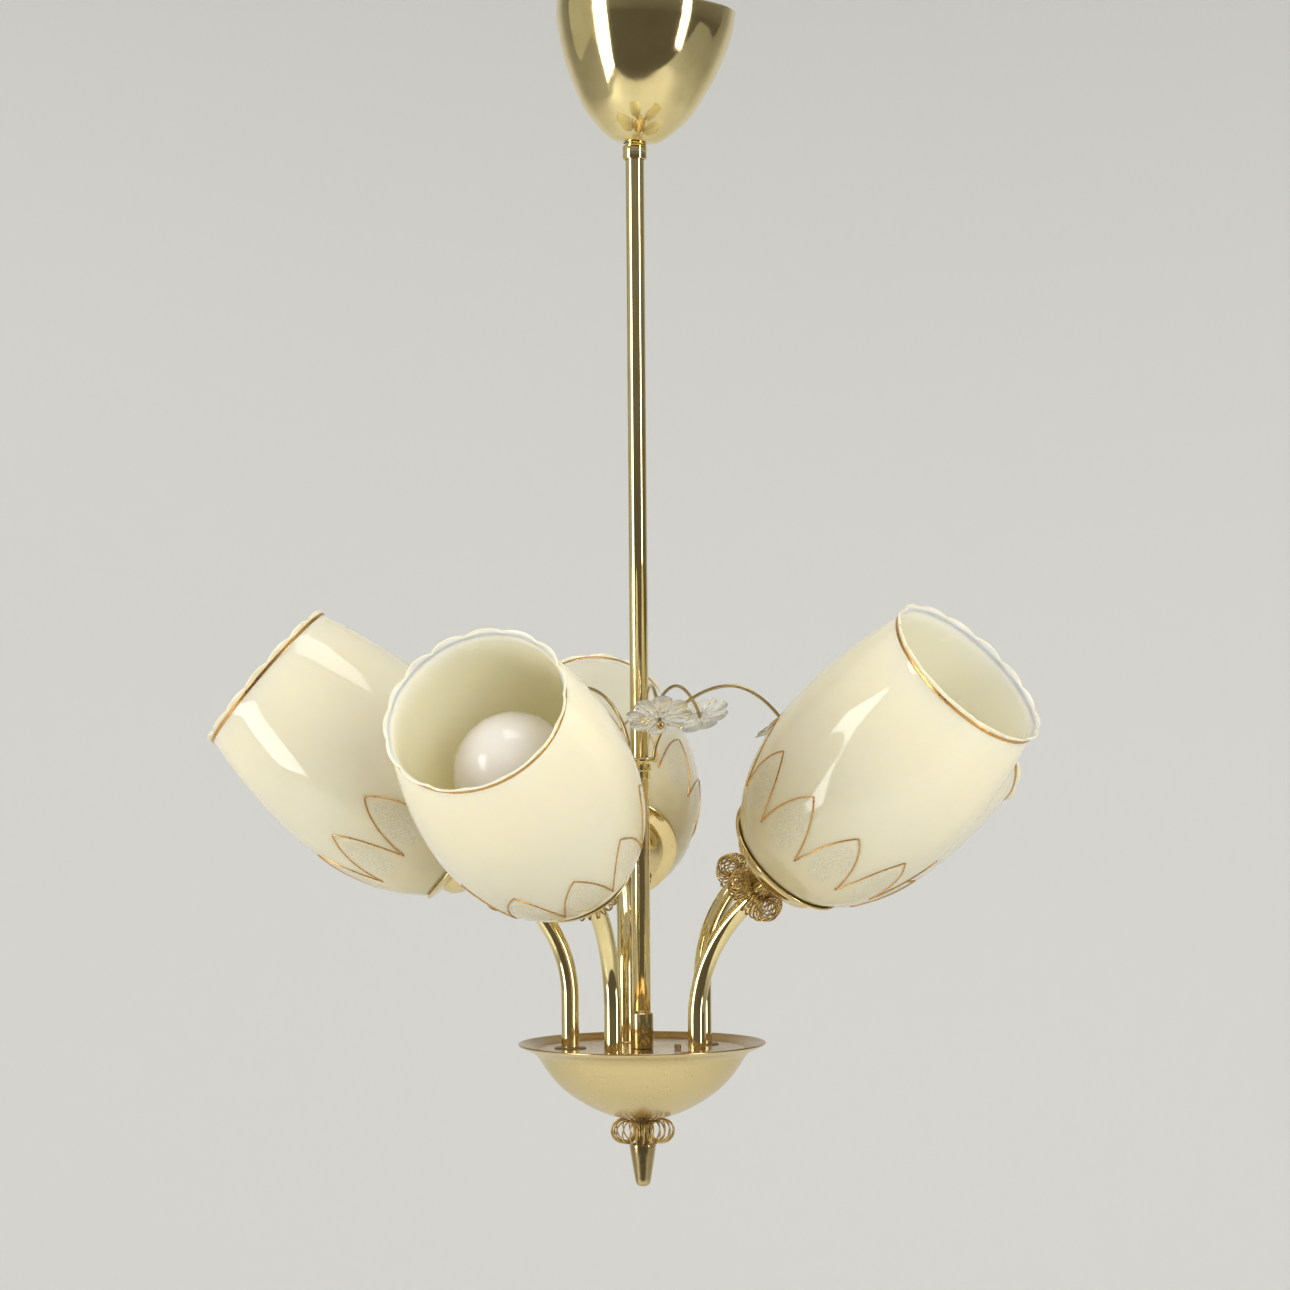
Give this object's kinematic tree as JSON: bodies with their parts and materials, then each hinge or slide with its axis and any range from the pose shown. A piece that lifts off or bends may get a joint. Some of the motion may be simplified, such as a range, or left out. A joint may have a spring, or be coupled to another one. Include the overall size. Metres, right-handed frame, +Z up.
{
  "type": "multi arm chandelier",
  "caption": "Brass chandelier on a straight stem with bent arms carrying opal tulip glass shades over a flared bowl, coiled wire ruffles and a spray of crystal rosettes under a ceiling cup.",
  "frame": {"origin": "where the hanging loop sits on its ceiling hook", "axes": "+Z up along the stem, -Y the front of the lamp"},
  "size_m": [0.6016, 0.6368, 0.849],
  "materials": {
    "polished_brass": "polished",
    "satin_brass": "satin",
    "aged_brass": "aged",
    "wire_brass": "drawn wire",
    "opal_glass": "glossy cream opal",
    "bulb_glass": "opal white",
    "crystal": "clear pressed",
    "holder": "moulded"
  },
  "bodies": {
    "lamp_frame": {"stem_rod": "polished_brass", "hanging_loop": "polished_brass", "wire_hub": "polished_brass", "coupling_sleeve": "polished_brass", "set_screw_upper": "polished_brass", "set_screw_lower": "polished_brass", "cover_plate": "polished_brass", "plate_screw": "aged_brass", "plate_pin": "aged_brass", "bowl": "satin_brass", "tie_nipple": "aged_brass", "bottom_ruffle": "wire_brass", "finial": "polished_brass", "crystal_wire_1": "polished_brass", "crystal_wire_2": "polished_brass", "crystal_wire_3": "polished_brass", "crystal_wire_4": "polished_brass", "crystal_wire_5": "polished_brass"},
    "arm_1": {"arm_tube_1": "polished_brass", "arm_ruffle_1": "wire_brass", "shade_cup_1": "polished_brass", "glass_shade_1": "opal_glass", "shade_nut_1": "polished_brass", "lamp_socket_1": "holder"},
    "globe_1": {"bulb_1": "bulb_glass"},
    "arm_2": {"arm_tube_2": "polished_brass", "arm_ruffle_2": "wire_brass", "shade_cup_2": "polished_brass", "glass_shade_2": "opal_glass", "shade_nut_2": "polished_brass", "lamp_socket_2": "holder"},
    "globe_2": {"bulb_2": "bulb_glass"},
    "arm_3": {"arm_tube_3": "polished_brass", "arm_ruffle_3": "wire_brass", "shade_cup_3": "polished_brass", "glass_shade_3": "opal_glass", "shade_nut_3": "polished_brass", "lamp_socket_3": "holder"},
    "globe_3": {"bulb_3": "bulb_glass"},
    "arm_4": {"arm_tube_4": "polished_brass", "arm_ruffle_4": "wire_brass", "shade_cup_4": "polished_brass", "glass_shade_4": "opal_glass", "shade_nut_4": "polished_brass", "lamp_socket_4": "holder"},
    "globe_4": {"bulb_4": "bulb_glass"},
    "arm_5": {"arm_tube_5": "polished_brass", "arm_ruffle_5": "wire_brass", "shade_cup_5": "polished_brass", "glass_shade_5": "opal_glass", "shade_nut_5": "polished_brass", "lamp_socket_5": "holder"},
    "globe_5": {"bulb_5": "bulb_glass"},
    "flower_1": {"crystal_flower_1": "crystal"},
    "flower_2": {"crystal_flower_2": "crystal"},
    "flower_3": {"crystal_flower_3": "crystal"},
    "flower_4": {"crystal_flower_4": "crystal"},
    "flower_5": {"crystal_flower_5": "crystal"},
    "collar": {"canopy_collar": "polished_brass"},
    "canopy_cup": {"canopy": "polished_brass"}
  },
  "joints": [
    {"name": "arm_1_swivel", "type": "hinge", "parent": "lamp_frame", "child": "arm_1", "pos_m": [0.03879, -0.03372, -0.732], "axis": [0, 0, 1], "range_deg": [-12, 12]},
    {"name": "bulb_1_out", "type": "slide", "parent": "arm_1", "child": "globe_1", "axis": [0.6155, -0.4246, 0.6639], "range_m": [0, 0.17]},
    {"name": "arm_2_swivel", "type": "hinge", "parent": "lamp_frame", "child": "arm_2", "pos_m": [0.04406, 0.02647, -0.732], "axis": [0, 0, 1], "range_deg": [-12, 12]},
    {"name": "bulb_2_out", "type": "slide", "parent": "arm_2", "child": "globe_2", "axis": [0.7456, 0.4879, 0.454], "range_m": [0, 0.17]},
    {"name": "arm_3_swivel", "type": "hinge", "parent": "lamp_frame", "child": "arm_3", "pos_m": [-0.01156, 0.05008, -0.732], "axis": [0, 0, 1], "range_deg": [-12, 12]},
    {"name": "bulb_3_out", "type": "slide", "parent": "arm_3", "child": "globe_3", "axis": [-0.1122, 0.8525, 0.5105], "range_m": [0, 0.17]},
    {"name": "arm_4_swivel", "type": "hinge", "parent": "lamp_frame", "child": "arm_4", "pos_m": [-0.0512, 0.00448, -0.732], "axis": [0, 0, 1], "range_deg": [-12, 12]},
    {"name": "bulb_4_out", "type": "slide", "parent": "arm_4", "child": "globe_4", "axis": [-0.7547, -0.004, 0.6561], "range_m": [0, 0.17]},
    {"name": "arm_5_swivel", "type": "hinge", "parent": "lamp_frame", "child": "arm_5", "pos_m": [-0.02008, -0.04731, -0.732], "axis": [0, 0, 1], "range_deg": [-12, 12]},
    {"name": "bulb_5_out", "type": "slide", "parent": "arm_5", "child": "globe_5", "axis": [-0.2988, -0.7826, 0.5461], "range_m": [0, 0.17]},
    {"name": "flower_1_spin", "type": "hinge", "parent": "lamp_frame", "child": "flower_1", "pos_m": [0.01406, -0.10002, -0.5], "axis": [-0.0798, 0.568, 0.8192], "continuous": true},
    {"name": "flower_2_spin", "type": "hinge", "parent": "lamp_frame", "child": "flower_2", "pos_m": [0.10173, -0.02162, -0.503], "axis": [-0.561, 0.1193, 0.8192], "continuous": true},
    {"name": "flower_3_spin", "type": "hinge", "parent": "lamp_frame", "child": "flower_3", "pos_m": [0.04494, 0.08821, -0.499], "axis": [-0.2604, -0.5111, 0.8192], "continuous": true},
    {"name": "flower_4_spin", "type": "hinge", "parent": "lamp_frame", "child": "flower_4", "pos_m": [-0.06492, 0.07737, -0.501], "axis": [0.3687, -0.4394, 0.8192], "continuous": true},
    {"name": "flower_5_spin", "type": "hinge", "parent": "lamp_frame", "child": "flower_5", "pos_m": [-0.09154, -0.04268, -0.501], "axis": [0.5198, 0.2424, 0.8192], "continuous": true},
    {"name": "canopy_slide", "type": "slide", "parent": "lamp_frame", "child": "collar", "axis": [0, 0, 1], "range_m": [-0.35, 0]},
    {"name": "canopy_tilt", "type": "hinge", "parent": "collar", "child": "canopy_cup", "pos_m": [0, 0, -0.0894], "axis": [-0.5822, -0.8131, 0], "range_deg": [0, 13.02]}
  ]
}
